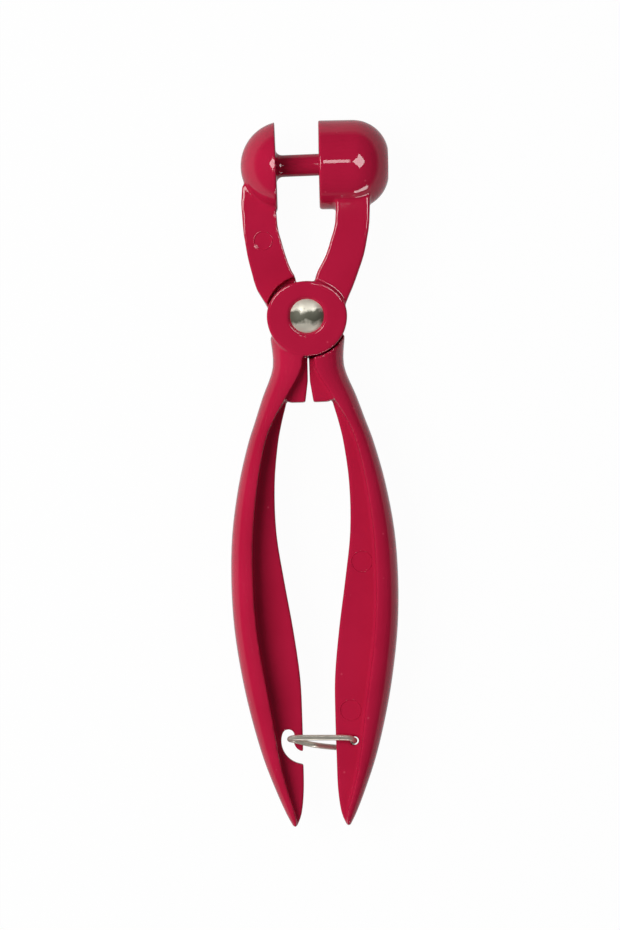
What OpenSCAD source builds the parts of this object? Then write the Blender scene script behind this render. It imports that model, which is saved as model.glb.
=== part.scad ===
// Olive pitter: two crossed cast levers on a rivet, a pin that drives the
// stone out through a cup, and a wire ring that holds the handles together.
// It lies flat: X across, Y along it towards the cup, Z up through its
// thickness. Both levers are drawn in the closed position, where the pin lies
// on the cup's axis and the stops meet, and are then opened to rest.

/* [Pose] */
// Angle by which the levers stand open at rest, in degrees
rest_open = 1.2; // [0.4:0.1:3]

/* [Handles] */
// Length of a handle from the pivot to its tip
handle_len = 127.3; // [110:0.1:150]
// Furthest reach of a handle's outer side from the centre line when closed
handle_bulge = 20.2; // [17:0.1:24]
// Width of the D-shaped rim at its widest, mid-handle
rim_w = 5.7; // [4.5:0.1:7]
// Half of the rim's depth, front to back
rim_half = 7.5; // [6.5:0.1:9]
// Thickness of the thin web inside each rim
web_t = 2.8; // [2:0.1:3.4]

/* [Boss] */
// Radius of each half-lapped pivot disc
boss_r = 10; // [9:0.1:11]
// Gap between the two discs' lapped faces
lap_gap = 0.1; // [0.05:0.05:0.3]
// Gap round a disc where the other lever is cut back for it
rim_gap = 0.4; // [0.2:0.1:0.8]
// Half of the stop blocks' depth, front to back
stop_half = 4; // [3:0.1:5]
// Distance of the stop blocks' lower end from the pivot
stop_end = 21.4; // [20:0.1:24]
// Gap left between the stop blocks when closed
stop_gap = 0.1; // [0.05:0.05:0.3]

/* [Jaws] */
// Height of the cup's axis above the pivot
head_y = 37.9; // [36:0.1:42]
// How far each jaw arm stands out on its own lever's side
arm_near = 6.5; // [5.5:0.1:7]
// How far each jaw arm stands out on the other lever's side
arm_far = 3; // [2:0.1:4]
// Distance of the cup's mouth from the centre line when closed
mouth_x = 3.7; // [2.5:0.1:5]

/* [Cup] */
// Outer radius of the cup
cup_r = 11.1; // [10.5:0.1:12]
// Length of the cup along its axis
cup_len = 17.5; // [16.5:0.1:19]
// Radius of the rounding at the cup's closed end
cup_round = 9; // [7:0.1:9.5]
// Thickness of the cup's wall
cup_wall = 2.1; // [1.6:0.1:2.8]
// Thickness of the cup's end wall
cup_floor = 2.2; // [1.6:0.1:3]
// Radius of the rounding inside the cup's end
bowl_round = 6.5; // [4:0.1:7.5]
// Radius of the hole that the stone leaves by
exit_r = 3.3; // [3:0.1:4]

/* [Pin] */
// Distance of the dome's flat face from the centre line when closed
dome_x = 6.2; // [5:0.1:7]
// Height of the dome behind its flat face
dome_h = 8.9; // [8:0.1:10]
// Step from the cup's outer radius down to the dome's
dome_step = 0.1; // [0:0.1:0.8]
// Radius of the pin
pin_r = 2.75; // [2.2:0.05:2.9]
// Length of the pin from the dome's face
pin_len = 24.8; // [20:0.1:25]
// Radius of the fillet at the pin's root
pin_fillet = 1.5; // [0.8:0.1:2.5]
// Width of the bevel at the pin's tip
pin_bevel = 0.6; // [0.3:0.1:1]

/* [Rivet] */
// Radius of the rivet's shank
shank_r = 2.5; // [2:0.1:3]
// Radial clearance of the shank in both levers
shank_fit = 0.05; // [0.02:0.01:0.1]
// Radius of the domed head
rivet_head_r = 4.35; // [3.8:0.05:5]
// Height of the domed head
rivet_head_h = 1.6; // [1:0.1:2.2]
// Depth of the recess that the head sits in
head_recess = 0.7; // [0.4:0.1:1.2]
// Gap round the head in its recess
head_gap = 0.25; // [0.1:0.05:0.6]
// Radius of the washer under the closed end
washer_r = 4.6; // [4:0.1:6]
// Thickness of the washer
washer_t = 0.8; // [0.5:0.1:1.2]
// Radius of the closed end
tail_r = 3.4; // [3.2:0.1:3.8]
// Height of the closed end
tail_h = 1.3; // [0.8:0.1:2]
// Gap between the washer and the disc that turns on it
washer_gap = 0.05; // [0.02:0.01:0.1]

/* [Spring] */
// Diameter of the spring's wire
spring_wire = 0.9; // [0.6:0.1:1]
// Radius of the coil at the middle of the wire
spring_r = 5.2; // [4.8:0.1:5.6]
// Number of whole turns in the coil, before the part turn to its second leg
spring_turns = 2; // [1:1:3]
// Gap from one turn to the next
turn_gap = 0.45; // [0.3:0.05:0.6]
// Length of the two straight legs outside the coil
leg_len = 2.4; // [1.5:0.1:3]
// Clearance round the spring in its pocket
spring_gap = 0.4; // [0.3:0.1:0.6]

/* [Lock ring] */
// Diameter of the ring's wire
ring_wire = 1.3; // [1:0.1:1.5]
// Length of the ring, from its hole to its far end
ring_len = 16.1; // [14.5:0.1:16.5]
// Least gap between the ring's wire and a web that it passes
ring_play = 0.2; // [0.2:0.1:0.6]
// Distance of the ring's hole from the handle's tip, along the handle
ring_from_tip = 21; // [19.5:0.1:23]
// Radius of the ring's hole
ring_hole_r = 1.1; // [1.1:0.1:1.6]
// Wall left between the ring's hole and the rim
hole_wall = 0.8; // [0.2:0.1:1]
// Outer radius of the hook-shaped slot for the ring
slot_out_r = 5.8; // [5:0.1:6.2]
// Inner radius of the hook-shaped slot, which is its nose
slot_in_r = 2.7; // [2.2:0.1:3.2]
// Distance of the slot's centre inside the web's edge, and above the hole
slot_inset = 0.4; // [0:0.1:1]

/* [Marks] */
// Distances of the ejector marks on the right web from the pivot
mark_y = [61.6, 98.6];
// Radius of the ejector marks on the web
mark_r = 2.7; // [2:0.1:3]
// Radius of the ejector mark on the jaw arm
arm_mark_r = 2.4; // [1.8:0.1:2.8]
// Depth of the ejector marks
mark_depth = 0.1; // [0.05:0.05:0.3]

/* [Hidden] */
$fn = 64;

half_open = rest_open / 2;
disc_h = rim_half - lap_gap / 2;
cut = 60;                     // longer than any cut has to be
skin_steps = 4;               // sections between two rows of handle_form

// Lines of a handle, from the pivot down to the tip. Each row gives the share
// of handle_len, the outer side and the web's edge as shares of handle_bulge,
// the rim's width as a share of rim_w and its depth as a share of rim_half.
handle_form = [
    [0.040, 0.460, 0.242, 1.33, 1.00],
    [0.098, 0.436, 0.248, 1.28, 0.99],
    [0.157, 0.570, 0.262, 1.05, 0.98],
    [0.205, 0.671, 0.334, 0.80, 0.97],
    [0.251, 0.767, 0.391, 0.76, 0.97],
    [0.330, 0.888, 0.439, 0.84, 0.98],
    [0.424, 0.977, 0.428, 0.93, 1.00],
    [0.518, 1.000, 0.343, 0.97, 1.00],
    [0.613, 0.971, 0.244, 0.99, 0.98],
    [0.707, 0.886, 0.169, 1.00, 0.95],
    [0.786, 0.781, 0.152, 0.93, 0.89],
    [0.864, 0.646, 0.149, 0.72, 0.78],
    [0.927, 0.500, 0.150, 0.54, 0.64],
    [0.974, 0.374, 0.182, 0.40, 0.48],
    [1.000, 0.286, 0.246, 0.14, 0.36],
];

// Edges of the two jaw arms from the boss to the head, as shares of head_y.
// The cup lever's arm leans out a little further, under the longer cup.
cup_arm_outer = [[0.251, 0.07], [0.306, 0.19], [0.348, 0.30], [0.383, 0.40],
                 [0.406, 0.51], [0.422, 0.61], [0.430, 0.80]];
cup_arm_inner = [[0.023, 0.20], [0.079, 0.30], [0.133, 0.40], [0.169, 0.51],
                 [0.197, 0.61], [0.208, 0.80]];
pin_arm_outer = [[0.251, 0.07], [0.322, 0.19], [0.351, 0.30], [0.373, 0.40],
                 [0.388, 0.51], [0.398, 0.61], [0.406, 0.90]];
pin_arm_inner = [[0.023, 0.20], [0.087, 0.30], [0.122, 0.40], [0.150, 0.51],
                 [0.170, 0.61], [0.180, 0.86]];

// A smooth curve through the rows of a list, on any number of columns
function knot(p, i) = p[max(0, min(len(p) - 1, i))];
function between(a, b, c, d, t) =
    0.5 * (2 * b + (c - a) * t + (2 * a - 5 * b + 4 * c - d) * t * t
           + (3 * b - a - 3 * c + d) * t * t * t);
function smooth(p, steps) = [
    for (i = [0 : len(p) - 2], k = [0 : steps - 1])
        between(knot(p, i - 1), p[i], knot(p, i + 1), knot(p, i + 2), k / steps),
    p[len(p) - 1]
];
function reversed(p) = [for (i = [len(p) - 1 : -1 : 0]) p[i]];
function turned(p, a) = [p[0] * cos(a) - p[1] * sin(a), p[0] * sin(a) + p[1] * cos(a)];

// The handle's sections in millimetres: distance from the pivot, outer side,
// web edge, rim width and half depth
handle = [for (r = smooth(handle_form, skin_steps))
    [r[0] * handle_len, r[1] * handle_bulge, r[2] * handle_bulge,
     r[3] * rim_w, r[4] * rim_half]];
function edge_at(d) = lookup(d, [for (h = handle) [h[0], h[2]]]);
function wall_at(d) = lookup(d, [for (h = handle) [h[0], h[1] - h[3]]]);

// Extents of the part at rest, which put its origin under the middle of it
left_x = min([for (h = handle) turned([-h[1], -h[0]], -half_open)[0]]);
right_x = turned([mouth_x + cup_len, head_y + cup_r - cup_round], -half_open)[0];
top_y = turned([mouth_x, head_y + cup_r], -half_open)[1];
low_y = turned([-handle[len(handle) - 1][1], -handle_len], -half_open)[1];
origin_shift = [-(left_x + right_x) / 2, -(top_y + low_y) / 2, cup_r];

// A closed skin over a list of equal rings of points, with flat ends, or
// joined end to end where the rings run in a loop
module skin(rings, loop = false) {
    m = len(rings[0]);
    n = len(rings);
    last = loop ? n - 1 : n - 2;
    sides = [for (i = [0 : last], j = [0 : m - 1], k = [0, 1])
        let (a = i * m + j, b = i * m + (j + 1) % m,
             c = ((i + 1) % n) * m + (j + 1) % m, d = ((i + 1) % n) * m + j)
        k == 0 ? [a, b, c] : [a, c, d]];
    ends = loop ? [] : [[for (j = [m - 1 : -1 : 0]) j],
                        [for (j = [0 : m - 1]) (n - 1) * m + j]];
    polyhedron([for (r = rings, p = r) p], concat(sides, ends), convexity = 6);
}

// A round wire along a list of points, with its rings square to the path
function unit(v) = v / norm(v);
function along(path, i, loop) =
    let (n = len(path))
    loop ? unit(path[(i + 1) % n] - path[(i + n - 1) % n])
         : unit(path[min(n - 1, i + 1)] - path[max(0, i - 1)]);
module wire(path, d, sides = 8, loop = false, up = [0, 0, 1]) {
    skin([for (i = [0 : len(path) - 1])
        let (t = along(path, i, loop), u = unit(cross(t, up)), v = cross(u, t))
        [for (k = [0 : sides - 1])
            path[i] + d / 2 * (cos(360 * k / sides) * u + sin(360 * k / sides) * v)]],
        loop);
}

// ---- Handle, drawn on the left side in the closed position ----

// D-shaped rim: flat inside, rounded outside, tapering to the tip
rim_corner = 0.8;             // under 1 the D is fuller than a half ellipse
rim_points = 16;
function signed_power(v, p) = sign(v) * pow(abs(v), p);
function rim_section(h) = [for (k = [0 : rim_points])
    let (a = 180 * k / rim_points - 90)
    [-(h[1] - h[3]) - h[3] * pow(abs(cos(a)), rim_corner), -h[0],
     h[4] * signed_power(sin(a), rim_corner)]];
module rim() {
    skin([for (h = handle) rim_section(h)]);
}

// Thin web between the rim and the open space between the handles
web_bite = 0.4;               // share of the rim's width that the web runs into
web_lap = 3;                  // how far the web runs up behind the stop block
module web() {
    rows = [for (h = handle) if (h[0] > stop_end - web_lap) h];
    linear_extrude(web_t, center = true)
        polygon(concat([for (h = rows) [-h[2], -h[0]]],
                       reversed([for (h = rows) [-(h[1] - h[3] * (1 - web_bite)), -h[0]]])));
}

// Block under the pivot that meets its twin when the handles are squeezed. The
// two touch at one edge only, and fall away from it above and below.
stop_touch = 15.8;            // distance of that edge from the pivot
stop_inner = [0.8, 1.6];      // where the face ends below and above
stop_outer = 4.5;
stop_top = boss_r + 1.4;
stop_slope = 2.4;
module stop_block() {
    linear_extrude(2 * stop_half, center = true)
        polygon([[-stop_gap / 2, -stop_touch], [-stop_inner[0], -stop_end],
                 [-stop_outer, -stop_end],
                 [-handle_bulge / 2, stop_slope - stop_end],
                 [-boss_r * 0.75, -boss_r], [-stop_inner[1], -stop_top]]);
}

module handle_half() {
    rim();
    web();
    stop_block();
}

// ---- Boss ----

// Jaw arm: a curved flat bar between two smoothed edges
module jaw_arm(outer, inner, near, far) {
    translate([0, 0, -far])
        linear_extrude(near + far)
            polygon(head_y * concat(smooth(outer, 2), reversed(smooth(inner, 2))));
}

// All that a lever leaves free for the other lever's disc
module lap_room() {
    translate([0, 0, -cut])
        cylinder(cut + lap_gap / 2, r = boss_r + rim_gap);
}

// Round pocket for the spring's coil in one disc, with a notch for its leg
leg_a_angle = 200;            // directions of the two legs when closed
leg_b_angle = 340;
spring_pitch = spring_wire + turn_gap;
spring_sweep = 360 * spring_turns + leg_b_angle - leg_a_angle + rest_open;
spring_rise = spring_sweep / 360 * spring_pitch;
pocket_h = (spring_rise + spring_wire + spring_gap) / 2;
leg_end = spring_r + spring_wire / 2 + leg_len;
module spring_pocket(leg_angle) {
    difference() {
        cylinder(2 * pocket_h, r = spring_r + spring_wire / 2 + spring_gap, center = true);
        cylinder(cut, r = spring_r - spring_wire / 2 - spring_gap, center = true);
    }
    rotate(leg_angle)
        translate([spring_r, -spring_wire / 2 - spring_gap, -pocket_h])
            cube([leg_end + spring_gap - spring_r, spring_wire + 2 * spring_gap,
                  2 * pocket_h]);
}

module rivet_bore() {
    cylinder(cut, r = shank_r + shank_fit, center = true);
}

// ---- Cup lever: left handle, front disc, right jaw arm and cup ----

module along_x() {
    rotate([0, 90, 0])
        children();
}

module rounded_end(r, length, corner) {
    rotate_extrude()
        union() {
            square([r, length - corner]);
            square([r - corner, length]);
            intersection() {
                translate([r - corner, length - corner])
                    circle(corner);
                square([r, length]);
            }
        }
}

mouth_bevel = 0.4;
module cup_outside() {
    translate([mouth_x, head_y, 0])
        along_x()
            rounded_end(cup_r, cup_len, cup_round);
}
module cup_inside() {
    bore_r = cup_r - cup_wall;
    translate([mouth_x, head_y, 0])
        along_x() {
            rounded_end(bore_r, cup_len - cup_floor, bowl_round);
            translate([0, 0, -cut])
                cylinder(cut, r = bore_r);
            translate([0, 0, -mouth_bevel])
                cylinder(2 * mouth_bevel, bore_r + 2 * mouth_bevel, bore_r);
            cylinder(cut, r = exit_r);
        }
}

// Hook-shaped slot: an arc round the nose, closed at its upper end and open
// through the web's edge at its lower end
ring_hole_y = handle_len - ring_from_tip;
slot_y = ring_hole_y - slot_inset;
slot_x = edge_at(slot_y) - slot_inset;
slot_from = 161;
slot_to = 289;
module hook_slot() {
    mid = (slot_out_r + slot_in_r) / 2;
    far = 3 * slot_out_r;
    translate([-slot_x, -slot_y, -web_t])
        linear_extrude(2 * web_t) {
            intersection() {
                difference() {
                    circle(slot_out_r);
                    circle(slot_in_r);
                }
                polygon([[0, 0], far * [cos(slot_from), sin(slot_from)], [-far, -far],
                         far * [cos(slot_to), sin(slot_to)]]);
            }
            translate(mid * [cos(slot_from), sin(slot_from)])
                circle((slot_out_r - slot_in_r) / 2);
        }
}

// Round mark that an ejector pin of the mould leaves on a flat face
module ejector_mark(place, z, r) {
    translate([place[0], place[1], z - mark_depth])
        cylinder(cut, r = r);
}

module cup_lever() {
    color("crimson")
        translate(origin_shift)
            rotate(-half_open)
                difference() {
                    union() {
                        handle_half();
                        jaw_arm(cup_arm_outer, cup_arm_inner, arm_near, arm_far);
                        cup_outside();
                        translate([0, 0, lap_gap / 2])
                            cylinder(disc_h, r = boss_r);
                    }
                    lap_room();
                    rivet_bore();
                    translate([0, 0, rim_half - head_recess])
                        cylinder(cut, r = rivet_head_r + head_gap);
                    spring_pocket(leg_a_angle);
                    cup_inside();
                    hook_slot();
                }
}

// ---- Pin lever: right handle, rear disc, left jaw arm, dome and pin ----

dome_r = cup_r - dome_step;    // radius of the dome's flat face
dome_ball = (dome_r * dome_r + dome_h * dome_h) / (2 * dome_h);
module dome() {
    intersection() {
        translate([-dome_x - dome_h + dome_ball, head_y, 0])
            sphere(dome_ball);
        translate([-dome_x - cut / 2, head_y, 0])
            cube(cut, center = true);
    }
}

module pin() {
    translate([-dome_x, head_y, 0])
        along_x() {
            translate([0, 0, -1])
                cylinder(pin_len + 1 - pin_bevel, r = pin_r);
            translate([0, 0, pin_len - pin_bevel])
                cylinder(pin_bevel, pin_r, pin_r - pin_bevel);
            rotate_extrude()
                difference() {
                    square([pin_r + pin_fillet, pin_fillet]);
                    translate([pin_r + pin_fillet, pin_fillet])
                        circle(pin_fillet);
                }
        }
}

ring_hole = [wall_at(ring_hole_y) - hole_wall - ring_hole_r, -ring_hole_y, 0];
arm_mark = head_y * [-(pin_arm_outer[4][0] + pin_arm_inner[3][0]) / 2, pin_arm_inner[3][1]];
module pin_lever() {
    color("crimson")
        translate(origin_shift)
            rotate(half_open)
                difference() {
                    union() {
                        mirror([1, 0, 0])
                            handle_half();
                        mirror([1, 0, 0])
                            jaw_arm(pin_arm_outer, pin_arm_inner, arm_far, arm_near);
                        dome();
                        pin();
                        translate([0, 0, -rim_half])
                            cylinder(disc_h, r = boss_r);
                    }
                    mirror([0, 0, 1])
                        lap_room();
                    rivet_bore();
                    spring_pocket(leg_b_angle);
                    translate(ring_hole)
                        cylinder(cut, r = ring_hole_r, center = true);
                    for (d = mark_y)
                        ejector_mark([(edge_at(d) + wall_at(d)) / 2, -d], web_t / 2, mark_r);
                    ejector_mark(arm_mark, arm_far, arm_mark_r);
                }
}

// ---- Rivet with its washer ----

// A low dome on its own flat base
module cap(r, h) {
    ball = (r * r + h * h) / (2 * h);
    intersection() {
        translate([0, 0, h - ball])
            sphere(ball);
        cylinder(h, r = r);
    }
}

head_seat = rim_half - head_recess;
tail_seat = rim_half + washer_gap + washer_t;
cap_bite = 0.2;               // how far the shank runs into the two caps
module pivot_rivet() {
    color("silver")
        translate(origin_shift)
            union() {
                translate([0, 0, -tail_seat - cap_bite])
                    cylinder(head_seat + tail_seat + 2 * cap_bite, r = shank_r);
                translate([0, 0, head_seat])
                    cap(rivet_head_r, rivet_head_h);
                translate([0, 0, -tail_seat])
                    mirror([0, 0, 1])
                        cap(tail_r, tail_h);
            }
}

module rivet_washer() {
    color("silver")
        translate(origin_shift)
            translate([0, 0, -tail_seat])
                difference() {
                    cylinder(washer_t, r = washer_r);
                    translate([0, 0, -washer_t])
                        cylinder(3 * washer_t, r = shank_r + shank_fit);
                }
}

// ---- Torsion spring between the discs, which pushes the handles apart ----

spring_sides = 12;            // points in a turn
module torsion_spring() {
    n = ceil(spring_sweep / 360 * spring_sides);
    from = leg_a_angle - half_open;
    to = from + spring_sweep;
    leg_from = spring_r + spring_wire;
    coil = [for (i = [0 : n])
        let (a = from + spring_sweep * i / n)
        [spring_r * cos(a), spring_r * sin(a), spring_rise * (0.5 - i / n)]];
    leg_a = [for (r = [leg_end, leg_from]) [r * cos(from), r * sin(from), spring_rise / 2]];
    leg_b = [for (r = [leg_from, leg_end]) [r * cos(to), r * sin(to), -spring_rise / 2]];
    echo(least_gap_of_coil = min([for (i = [0 : n], j = [i + spring_sides / 2 : 1 : n])
        norm(coil[i] - coil[j])]) - spring_wire);
    color("gray")
        translate(origin_shift)
            wire(concat(leg_a, coil, leg_b), spring_wire, 6);
}

// ---- Lock ring ----

// Route of the wire's middle round the ring, from the hole, in the handle's
// own lines: out in front of both webs, round its far end, back between the
// webs and behind the right one
over_web = (web_t + ring_wire) / 2 + ring_play;
ring_route = [
    [0.0, 0.0, 0.0],
    [-0.3, 0.3, over_web - 0.3],
    [-1.6, 0.9, over_web + 0.6],
    [-8.0, 1.2, over_web + 1.3],
    [1.5 - ring_len, 1.4, over_web + 2.1],
    [0.2 - ring_len, 1.2, over_web + 1.8],
    [-ring_len, 1.0, over_web + 1.1],
    [0.6 - ring_len, 0.8, over_web + 0.5],
    [2.1 - ring_len, 0.4, over_web + 0.2],
    [3.8 - ring_len, -0.1, over_web + 0.2],
    [5.8 - ring_len, -0.6, over_web],
    [-7.7, -1.2, 0.0],
    [-4.9, -1.7, -over_web],
    [-2.8, -1.9, -over_web - 0.5],
    [-1.4, -1.4, -over_web - 0.5],
    [-0.3, -0.4, 0.3 - over_web],
];
ring_steps = 4;
function loop_knot(p, i) = p[(i + len(p)) % len(p)];
function smooth_loop(p, steps) = [
    for (i = [0 : len(p) - 1], k = [0 : steps - 1])
        between(loop_knot(p, i - 1), p[i], loop_knot(p, i + 1), loop_knot(p, i + 2),
                k / steps)
];
module lock_ring() {
    color("silver")
        translate(origin_shift)
            translate(turned(ring_hole, half_open))
                wire(smooth_loop(ring_route, ring_steps), ring_wire, 8, true, [0.1, 1, 0.1]);
}

cup_lever();
pin_lever();
pivot_rivet();
rivet_washer();
torsion_spring();
lock_ring();
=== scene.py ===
import math

import bpy
from mathutils import Matrix, Quaternion, Vector


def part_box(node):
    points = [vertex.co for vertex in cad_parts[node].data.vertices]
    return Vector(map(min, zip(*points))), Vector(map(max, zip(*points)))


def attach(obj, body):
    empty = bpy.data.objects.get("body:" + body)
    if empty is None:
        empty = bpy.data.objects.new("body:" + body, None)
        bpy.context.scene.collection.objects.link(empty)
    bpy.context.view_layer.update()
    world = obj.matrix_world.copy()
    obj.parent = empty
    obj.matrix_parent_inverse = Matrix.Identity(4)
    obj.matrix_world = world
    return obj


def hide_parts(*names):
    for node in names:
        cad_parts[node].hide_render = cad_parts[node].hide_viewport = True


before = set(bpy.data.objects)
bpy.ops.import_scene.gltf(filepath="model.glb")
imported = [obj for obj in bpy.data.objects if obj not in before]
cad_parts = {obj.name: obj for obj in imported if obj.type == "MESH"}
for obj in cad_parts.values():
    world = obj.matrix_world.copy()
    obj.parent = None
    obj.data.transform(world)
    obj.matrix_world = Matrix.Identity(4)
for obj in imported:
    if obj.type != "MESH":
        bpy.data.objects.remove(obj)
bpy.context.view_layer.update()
bpy.ops.object.select_all(action="DESELECT")

# ---- Camera ----
# The pitter lies flat and is looked at from straight above, with the cup at
# the top of the picture and the tool turned a little clockwise in it.

MM = 0.001
PICTURE_HEIGHT = 232.5 * MM
CAMERA_DISTANCE = 1.0
CAMERA_ROLL = math.radians(-1.7)
PICTURE_MIDDLE = (-0.7 * MM, 2.1 * MM)
SENSOR = 36.0

rivet_low, rivet_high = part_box("pivot_rivet")
pivot = (rivet_low + rivet_high) / 2
cup_low, cup_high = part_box("cup_lever")
mid_plane = (cup_low.z + cup_high.z) / 2

bpy.ops.object.camera_add(
    location=(PICTURE_MIDDLE[0], PICTURE_MIDDLE[1], mid_plane + CAMERA_DISTANCE),
    rotation=(0, 0, CAMERA_ROLL),
)
camera = bpy.context.object
camera.name = "camera"
camera.data.sensor_width = SENSOR
camera.data.lens = SENSOR * CAMERA_DISTANCE / PICTURE_HEIGHT
camera.data.clip_start = 0.01
bpy.context.scene.camera = camera
bpy.context.scene.view_settings.view_transform = "Standard"

# ---- Studio ----
# A white table in a dim room. A large soft lamp at the left does the lighting.
# Two small square boxes and a thin one hang close over the jaws, and a strip
# stands low at the near right: these four only show in the gloss.


def add_node(tree, kind, **inputs):
    """A new shader node, with its sockets set by name."""
    node = tree.nodes.new(kind)
    for name, value in inputs.items():
        node.inputs[name.replace("_", " ")].default_value = value
    return node


ROOM_ON_SURFACES = 0.24       # what the dim room adds to matt surfaces
ROOM_OVERHEAD = 0.03          # what glossy surfaces see above them
ROOM_HORIZON = 0.28           # and low down, just over the table
world = bpy.data.worlds.new("studio")
bpy.context.scene.world = world
world.use_nodes = True
tree = world.node_tree
room = tree.nodes["Background"]
room.inputs["Color"].default_value = (1, 1, 1, 1)
room.inputs["Strength"].default_value = ROOM_ON_SURFACES
seen_room = add_node(tree, "ShaderNodeBackground", Color=(1, 1, 1, 1), Strength=1.0)
direction = tree.nodes.new("ShaderNodeTexCoord")
split = tree.nodes.new("ShaderNodeSeparateXYZ")
tree.links.new(direction.outputs["Generated"], split.inputs[0])
falloff = add_node(
    tree, "ShaderNodeMapRange", From_Min=0.0, From_Max=0.22,
    To_Min=ROOM_HORIZON, To_Max=ROOM_OVERHEAD,
)
falloff.interpolation_type = "SMOOTHSTEP"
tree.links.new(split.outputs["Z"], falloff.inputs["Value"])
reflected_room = add_node(tree, "ShaderNodeBackground", Color=(1, 1, 1, 1))
tree.links.new(falloff.outputs[0], reflected_room.inputs["Strength"])
ray = tree.nodes.new("ShaderNodeLightPath")
glossy_mix = tree.nodes.new("ShaderNodeMixShader")
tree.links.new(ray.outputs["Is Glossy Ray"], glossy_mix.inputs[0])
tree.links.new(room.outputs[0], glossy_mix.inputs[1])
tree.links.new(reflected_room.outputs[0], glossy_mix.inputs[2])
camera_mix = tree.nodes.new("ShaderNodeMixShader")
tree.links.new(ray.outputs["Is Camera Ray"], camera_mix.inputs[0])
tree.links.new(glossy_mix.outputs[0], camera_mix.inputs[1])
tree.links.new(seen_room.outputs[0], camera_mix.inputs[2])
tree.links.new(camera_mix.outputs[0], tree.nodes["World Output"].inputs["Surface"])


def soft_box(name, over, tilt, azimuth, distance, size, brightness, spin=0, on="both"):
    """A lamp tilt degrees off straight up from the point over, facing it.

    brightness 1 is as bright as white paper. on is "surfaces" for a lamp that
    only lights matt colour, "gloss" for one that only shows in reflections.
    """
    tilt, azimuth, spin = (math.radians(angle) for angle in (tilt, azimuth, spin))
    way = Vector((
        math.sin(tilt) * math.cos(azimuth),
        math.sin(tilt) * math.sin(azimuth),
        math.cos(tilt),
    ))
    bpy.ops.object.light_add(type="AREA", location=Vector(over) + distance * way)
    lamp = bpy.context.object
    lamp.name = name
    lamp.rotation_mode = "QUATERNION"
    lamp.rotation_quaternion = way.to_track_quat("Z", "Y") @ Quaternion((0, 0, 1), spin)
    lamp.data.shape = "RECTANGLE"
    lamp.data.size, lamp.data.size_y = size
    lamp.data.energy = brightness * math.pi * size[0] * size[1]
    lamp.visible_camera = False
    lamp.visible_glossy = on != "surfaces"
    lamp.visible_diffuse = on != "gloss"
    return lamp


middle = (0, 0, mid_plane)
jaw_y = cup_high.y - (cup_high.z - cup_low.z) / 2     # the cup is as high as it is wide
crest = cup_high.z
dome_side = (-37 * MM, jaw_y + 3 * MM, crest)
cup_side = (36 * MM, jaw_y + 3 * MM, crest)
between = (pivot.x + 9.2 * MM, jaw_y, crest)
OVER_JAWS = 0.055
soft_box("key", middle, 36, 170, 1.0, (0.7, 0.7), 5.6, on="surfaces")
soft_box("left_diamond", dome_side, 0, 0, OVER_JAWS, (0.033, 0.033), 9, spin=45, on="gloss")
soft_box("right_diamond", cup_side, 0, 0, OVER_JAWS, (0.031, 0.031), 9, spin=45, on="gloss")
soft_box("tent_seam", between, 4, 90, 0.16, (0.010, 0.020), 8, on="gloss")
soft_box("low_strip", middle, 79, 293, 1.0, (0.66, 0.17), 8, on="gloss")

bpy.ops.mesh.primitive_plane_add(size=6, location=(0, 0, -0.2 * MM))
table = bpy.context.object
table.name = "table"
paper = bpy.data.materials.new("white_table")
paper.use_nodes = True
tree = paper.node_tree
tree.nodes.clear()
surface = add_node(tree, "ShaderNodeBsdfDiffuse", Color=(0.86, 0.86, 0.86, 1))
glow = add_node(tree, "ShaderNodeEmission", Color=(1, 1, 1, 1), Strength=1.0)
dim_glow = add_node(tree, "ShaderNodeEmission", Color=(1, 1, 1, 1), Strength=0.5)
ray = tree.nodes.new("ShaderNodeLightPath")
output = tree.nodes.new("ShaderNodeOutputMaterial")
seen_share = tree.nodes.new("ShaderNodeMath")
seen_share.operation = "MULTIPLY"
seen_share.inputs[1].default_value = 0.97
tree.links.new(ray.outputs["Is Camera Ray"], seen_share.inputs[0])
gloss_mix = tree.nodes.new("ShaderNodeMixShader")
tree.links.new(ray.outputs["Is Glossy Ray"], gloss_mix.inputs[0])
tree.links.new(surface.outputs[0], gloss_mix.inputs[1])
tree.links.new(dim_glow.outputs[0], gloss_mix.inputs[2])
table_mix = tree.nodes.new("ShaderNodeMixShader")
tree.links.new(seen_share.outputs[0], table_mix.inputs[0])
tree.links.new(gloss_mix.outputs[0], table_mix.inputs[1])
tree.links.new(glow.outputs[0], table_mix.inputs[2])
tree.links.new(table_mix.outputs[0], output.inputs["Surface"])
table.data.materials.append(paper)

# ---- Cast levers ----
# Each lever is one aluminium casting: handle, half of the pivot boss, jaw arm
# and, at its end, the cup or the dome with its pin. The edges come rounded out
# of the mould, and the whole is coated with a thick crimson lacquer.

CAST_GRID = 0.36 * MM
CAST_ROUNDING = 3


def new_principled(name):
    """A material with an empty tree but for its shader, and that shader."""
    material = bpy.data.materials.new(name)
    material.use_nodes = True
    return material, material.node_tree, material.node_tree.nodes["Principled BSDF"]


def object_noise(tree, scale, detail=2.0, roughness=0.5, stretch=(1, 1, 1)):
    """Noise on the piece's own coordinates, scale in cells to a metre."""
    place = tree.nodes.new("ShaderNodeTexCoord")
    mapping = tree.nodes.new("ShaderNodeMapping")
    mapping.inputs["Scale"].default_value = stretch
    noise = tree.nodes.new("ShaderNodeTexNoise")
    noise.inputs["Scale"].default_value = scale
    noise.inputs["Detail"].default_value = detail
    noise.inputs["Roughness"].default_value = roughness
    tree.links.new(place.outputs["Object"], mapping.inputs["Vector"])
    tree.links.new(mapping.outputs["Vector"], noise.inputs["Vector"])
    return noise.outputs["Fac"]


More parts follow.
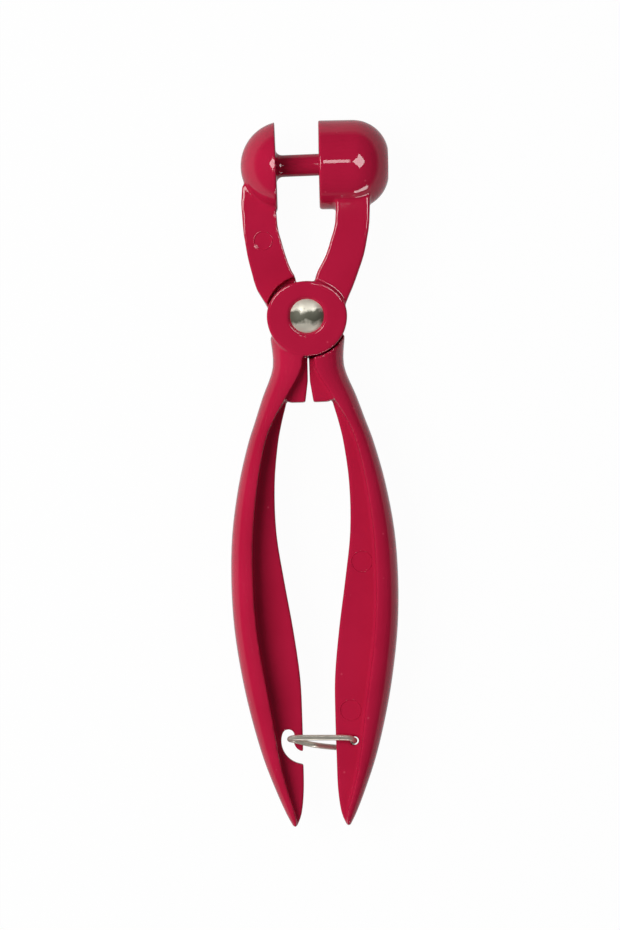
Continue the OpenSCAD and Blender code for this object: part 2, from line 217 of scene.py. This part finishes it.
def ramp(tree, value, stops):
    """value through a colour ramp of (position, colour) stops."""
    node = tree.nodes.new("ShaderNodeValToRGB")
    elements = node.color_ramp.elements
    while len(elements) < len(stops):
        elements.new(0.5)
    for element, (position, colour) in zip(elements, stops):
        element.position = position
        element.color = (*colour, 1)
    tree.links.new(value, node.inputs["Fac"])
    return node.outputs["Color"]


def bumped(tree, height, distance, strength, under=None):
    """A bump of height times distance, over another normal if one is given."""
    node = tree.nodes.new("ShaderNodeBump")
    node.inputs["Distance"].default_value = distance
    node.inputs["Strength"].default_value = strength
    tree.links.new(height, node.inputs["Height"])
    if under is not None:
        tree.links.new(under, node.inputs["Normal"])
    return node.outputs["Normal"]


def crimson_lacquer():
    material, tree, shader = new_principled("crimson_lacquer")
    shade = ramp(
        tree,
        object_noise(tree, 60, detail=3),
        [(0.3, (0.46, 0.009, 0.044)), (0.7, (0.52, 0.012, 0.054))],
    )
    place = tree.nodes.new("ShaderNodeTexCoord")
    specks = tree.nodes.new("ShaderNodeTexVoronoi")
    specks.inputs["Scale"].default_value = 210
    tree.links.new(place.outputs["Object"], specks.inputs["Vector"])
    speck_mask = ramp(
        tree, specks.outputs["Distance"], [(0.03, (1, 1, 1)), (0.075, (0, 0, 0))]
    )
    speckled = tree.nodes.new("ShaderNodeMix")
    speckled.data_type = "RGBA"
    tree.links.new(speck_mask, speckled.inputs["Factor"])
    tree.links.new(shade, speckled.inputs["A"])
    speckled.inputs["B"].default_value = (0.62, 0.05, 0.10, 1)
    tree.links.new(speckled.outputs["Result"], shader.inputs["Base Color"])
    orange_peel = bumped(tree, object_noise(tree, 420, detail=2), 0.02 * MM, 0.2)
    pits = bumped(tree, speck_mask, 0.02 * MM, 0.6, under=orange_peel)
    tree.links.new(pits, shader.inputs["Normal"])
    shader.inputs["Metallic"].default_value = 0.0
    shader.inputs["Roughness"].default_value = 0.5
    shader.inputs["Specular IOR Level"].default_value = 0.0
    shader.inputs["Coat Weight"].default_value = 1.0
    shader.inputs["Coat Roughness"].default_value = 0.04
    shader.inputs["Coat IOR"].default_value = 1.5
    tree.links.new(orange_peel, shader.inputs["Coat Normal"])
    return material


def copied_mesh(node, name):
    """A copy of a frame piece's mesh in a new object, its loose triangles joined."""
    piece = bpy.data.objects.new(name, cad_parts[node].data.copy())
    bpy.context.scene.collection.objects.link(piece)
    bpy.ops.object.select_all(action="DESELECT")
    bpy.context.view_layer.objects.active = piece
    piece.select_set(True)
    piece.data.materials.clear()
    bpy.ops.object.mode_set(mode="EDIT")
    bpy.ops.mesh.select_all(action="SELECT")
    bpy.ops.mesh.remove_doubles(threshold=0.001 * MM)
    bpy.ops.object.mode_set(mode="OBJECT")
    return piece


def apply(piece, kind, **settings):
    """Adds a modifier with these settings and applies it."""
    modifier = piece.modifiers.new(kind.lower(), kind)
    for name, value in settings.items():
        setattr(modifier, name, value)
    bpy.context.view_layer.objects.active = piece
    bpy.ops.object.modifier_apply(modifier=modifier.name)


def select_corners(piece, wanted):
    """Selects the corners of a piece whose place in plan is wanted, in edit mode."""
    bpy.ops.object.mode_set(mode="EDIT")
    bpy.ops.mesh.select_all(action="DESELECT")
    bpy.ops.object.mode_set(mode="OBJECT")
    for vertex in piece.data.vertices:
        vertex.select = wanted(vertex.co.xy)
    bpy.ops.object.mode_set(mode="EDIT")


def on_boss_wall(place):
    """Whether a place is on the round wall of the boss, above the pivot."""
    off = place - pivot.xy
    return abs(off.length - BOSS_R) < BOSS_WALL and off.y > 0


BOSS_R = 10 * MM
BOSS_WALL = 0.06 * MM
BOSS_FLATTENING = 0.87        # above the pivot the boss is lower than it is wide
HALF_OPEN = math.radians(0.6)                # each lever's turn from closed to rest
ARM_END = (15.39 * MM, 34.11 * MM)           # outer top corner of the dome's arm
ARM_END_SHIFT = (0.5 * MM, -1.3 * MM, 0)
CORNER_REACH = 0.2 * MM
# A block fills each lever's side of the seam below the boss, in closed lines:
# its outer and inner side, its top and foot below the pivot, half its depth.
SEAM_BLOCK = (1.6 * MM, 0.07 * MM, -10.5 * MM, -15.6 * MM, 4 * MM)

lacquer = crimson_lacquer()
for node, side in (("cup_lever", -1), ("pin_lever", 1)):
    casting = copied_mesh(node, node + "_casting")
    turn = Matrix.Rotation(side * HALF_OPEN, 2)
    select_corners(casting, on_boss_wall)
    bpy.ops.transform.resize(value=(1, BOSS_FLATTENING, 1), center_override=pivot)
    if node == "pin_lever":
        arm_end = pivot.xy + turn @ Vector((-ARM_END[0], ARM_END[1]))
        select_corners(casting, lambda place: (place - arm_end).length < CORNER_REACH)
        bpy.ops.transform.translate(value=ARM_END_SHIFT)
    bpy.ops.object.mode_set(mode="OBJECT")
    outer, inner, top, foot, half_depth = SEAM_BLOCK
    middle_of_block = turn @ Vector((side * (outer + inner) / 2, (top + foot) / 2))
    bpy.ops.mesh.primitive_cube_add(
        size=1,
        location=(pivot.x + middle_of_block.x, pivot.y + middle_of_block.y, mid_plane),
        rotation=(0, 0, side * HALF_OPEN),
        scale=(outer - inner, top - foot, 2 * half_depth),
    )
    casting.select_set(True)
    bpy.context.view_layer.objects.active = casting
    bpy.ops.object.join()
    apply(casting, "REMESH", mode="VOXEL", voxel_size=CAST_GRID, adaptivity=0)
    apply(casting, "SMOOTH", factor=0.5, iterations=CAST_ROUNDING)
    bpy.ops.object.shade_smooth()
    casting.data.materials.append(lacquer)
    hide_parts(node)
    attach(casting, node)

# ---- Ejector marks ----
# Round scars of the mould's ejector pins, each a fine raised line under the
# lacquer. Two are on the right handle's web and one on the dome's arm.

MARKS = (
    # distance right of the pivot, distance above it, height over the mid plane, radius
    (11.16 * MM, -61.6 * MM, 1.4 * MM, 2.6 * MM),
    (6.91 * MM, -98.6 * MM, 1.4 * MM, 2.6 * MM),
    (-10.2 * MM, 19.33 * MM, 3.0 * MM, 2.3 * MM),
)
MARK_LINE = 0.16 * MM
MARK_SUNK = 0.09 * MM
for index, (across, up, height, radius) in enumerate(MARKS):
    place = Matrix.Rotation(HALF_OPEN, 2) @ Vector((across, up)) + pivot.xy
    bpy.ops.mesh.primitive_torus_add(
        location=(place.x, place.y, mid_plane + height - MARK_SUNK),
        major_radius=radius, minor_radius=MARK_LINE, major_segments=96, minor_segments=12,
    )
    mark = bpy.context.object
    mark.name = f"ejector_mark_{index}"
    bpy.ops.object.transform_apply(location=True, rotation=True, scale=True)
    bpy.ops.object.shade_smooth()
    mark.data.materials.append(lacquer)
    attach(mark, "pin_lever")

# ---- Rivet and washer ----
# A nickel-plated steel rivet. Its wide low dome is pressed into the recess in
# front, and its closed end is set over a washer behind. The mottled dark band
# across the head is a painted reflection of the dark that the head mirrors. It
# falls on the washer and the closed end too, because they share the material.


def bright_nickel(name, colour, roughness, metallic=0.7):
    material, tree, shader = new_principled(name)
    shade = ramp(
        tree,
        object_noise(tree, 260, detail=4),
        [(0.35, tuple(0.82 * c for c in colour)), (0.65, colour)],
    )
    tree.links.new(shade, shader.inputs["Base Color"])
    polish = tree.nodes.new("ShaderNodeMapRange")
    polish.inputs["To Min"].default_value = roughness * 0.7
    polish.inputs["To Max"].default_value = roughness * 1.4
    tree.links.new(object_noise(tree, 900, detail=3), polish.inputs["Value"])
    tree.links.new(polish.outputs[0], shader.inputs["Roughness"])
    scuffs = bumped(tree, object_noise(tree, 1500, stretch=(1, 0.15, 1)), 0.004 * MM, 0.5)
    tree.links.new(scuffs, shader.inputs["Normal"])
    shader.inputs["Metallic"].default_value = metallic
    return material


def turned_piece(name, middle, outline, sides=96):
    """A closed solid of revolution about Z through (radius, height) steps."""
    radius, height = outline[0]
    bpy.ops.mesh.primitive_circle_add(
        vertices=sides, radius=radius, fill_type="NGON", location=(middle.x, middle.y, height)
    )
    piece = bpy.context.object
    piece.name = name
    bpy.ops.object.mode_set(mode="EDIT")
    bpy.ops.mesh.select_all(action="SELECT")
    for next_radius, next_height in outline[1:]:
        bpy.ops.mesh.extrude_region_move(
            TRANSFORM_OT_translate={"value": (0, 0, next_height - height)}
        )
        stretch = next_radius / radius
        bpy.ops.transform.resize(
            value=(stretch, stretch, 1), center_override=(middle.x, middle.y, next_height)
        )
        radius, height = next_radius, next_height
    bpy.ops.mesh.select_all(action="SELECT")
    bpy.ops.mesh.normals_make_consistent(inside=False)
    bpy.ops.object.mode_set(mode="OBJECT")
    bpy.ops.object.transform_apply(location=True, rotation=True, scale=True)
    return piece


def round_edges(piece, width):
    """Rounds the sharp edges of a turned piece."""
    apply(piece, "BEVEL", width=width, segments=3, limit_method="ANGLE", angle_limit=math.radians(40))


def dome_steps(radius, base, height, steps=14):
    """(radius, height) steps over a low dome, from its base to near its top."""
    ball = (radius**2 + height**2) / (2 * height)
    reach = math.asin(radius / ball)
    return [
        (
            ball * math.sin(reach * (1 - k / steps)),
            base + ball * math.cos(reach * (1 - k / steps)) - (ball - height),
        )
        for k in range(steps)
    ]


SHANK_R = 2.5 * MM
TAIL_R = 3.4 * MM
TAIL_H = 1.3 * MM
HEAD_H = 1.6 * MM
PAINTED_REFLECTION_REACH = 3.6 * MM
EDGE_ROUNDING = 0.12 * MM
nickel = bright_nickel("nickel_plate", (0.80, 0.76, 0.64), 0.42, metallic=0.35)
# Painted reflection: a mottled dark band, set by height across the head, stands in for the dark
# overhead that the rivet mirrors.
tree = nickel.node_tree
plate = tree.nodes["Principled BSDF"].inputs["Base Color"]
plain_colour = plate.links[0].from_socket
place = tree.nodes.new("ShaderNodeTexCoord")
split = tree.nodes.new("ShaderNodeSeparateXYZ")
tree.links.new(place.outputs["Object"], split.inputs[0])
height_on_head = tree.nodes.new("ShaderNodeMapRange")
height_on_head.inputs["From Min"].default_value = pivot.y - PAINTED_REFLECTION_REACH
height_on_head.inputs["From Max"].default_value = pivot.y + PAINTED_REFLECTION_REACH
tree.links.new(split.outputs["Y"], height_on_head.inputs["Value"])
painted_reflection_mottle = tree.nodes.new("ShaderNodeMath")
painted_reflection_mottle.operation = "MULTIPLY_ADD"
painted_reflection_mottle.inputs[1].default_value = 0.5
tree.links.new(object_noise(tree, 700, detail=4), painted_reflection_mottle.inputs[0])
tree.links.new(height_on_head.outputs[0], painted_reflection_mottle.inputs[2])
painted_reflection_mask = ramp(
    tree,
    painted_reflection_mottle.outputs[0],
    [(0.42, (0, 0, 0)), (0.62, (1, 1, 1)), (0.86, (1, 1, 1)), (1.0, (0, 0, 0))],
)
painted_reflection_mix = tree.nodes.new("ShaderNodeMix")
painted_reflection_mix.data_type = "RGBA"
tree.links.new(painted_reflection_mask, painted_reflection_mix.inputs["Factor"])
tree.links.new(plain_colour, painted_reflection_mix.inputs["A"])
painted_reflection_mix.inputs["B"].default_value = (0.13, 0.13, 0.095, 1)
tree.links.new(painted_reflection_mix.outputs["Result"], plate)
head_r = (rivet_high.x - rivet_low.x) / 2
head_seat = rivet_high.z - HEAD_H
tail_seat = rivet_low.z + TAIL_H
tail = [(r, 2 * tail_seat - z) for r, z in dome_steps(TAIL_R, tail_seat, TAIL_H)]
outline = tail[::-1] + [(SHANK_R, tail_seat), (SHANK_R, head_seat)]
outline += dome_steps(head_r, head_seat, HEAD_H)
rivet = turned_piece("rivet", pivot, outline)
round_edges(rivet, EDGE_ROUNDING)
bpy.ops.object.shade_smooth_by_angle(angle=math.radians(40))
rivet.data.materials.append(nickel)
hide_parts("pivot_rivet")
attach(rivet, "cup_lever")

washer = copied_mesh("rivet_washer", "washer")
round_edges(washer, EDGE_ROUNDING)
bpy.ops.object.shade_smooth_by_angle(angle=math.radians(40))
washer.data.materials.append(nickel)
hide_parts("rivet_washer")
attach(washer, "cup_lever")

# ---- Torsion spring and lock ring ----
# Two pieces of bent wire: the spring of oiled spring steel that is hidden
# between the bosses, and the loop of nickel-plated wire at the handle ends.


def round_wire(node, name, fatten):
    """The frame's wire with its flat sides made round."""
    piece = copied_mesh(node, name)
    bpy.ops.object.mode_set(mode="EDIT")
    bpy.ops.mesh.select_all(action="SELECT")
    bpy.ops.mesh.tris_convert_to_quads(
        face_threshold=math.radians(60), shape_threshold=math.radians(60)
    )
    bpy.ops.transform.shrink_fatten(value=fatten)
    bpy.ops.object.mode_set(mode="OBJECT")
    apply(piece, "SUBSURF", levels=2, render_levels=2)
    bpy.ops.object.shade_smooth()
    return piece


SPRING_FATTENING = 0.05 * MM
RING_FATTENING = 0.13 * MM
spring = round_wire("torsion_spring", "spring", SPRING_FATTENING)
spring.data.materials.append(bright_nickel("oiled_spring_steel", (0.36, 0.35, 0.34), 0.3))
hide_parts("torsion_spring")
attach(spring, "cup_lever")

ring = round_wire("lock_ring", "wire_ring", RING_FATTENING)
ring.data.materials.append(bright_nickel("nickel_wire", (0.80, 0.75, 0.64), 0.3, metallic=0.6))
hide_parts("lock_ring")
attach(ring, "lock_ring")
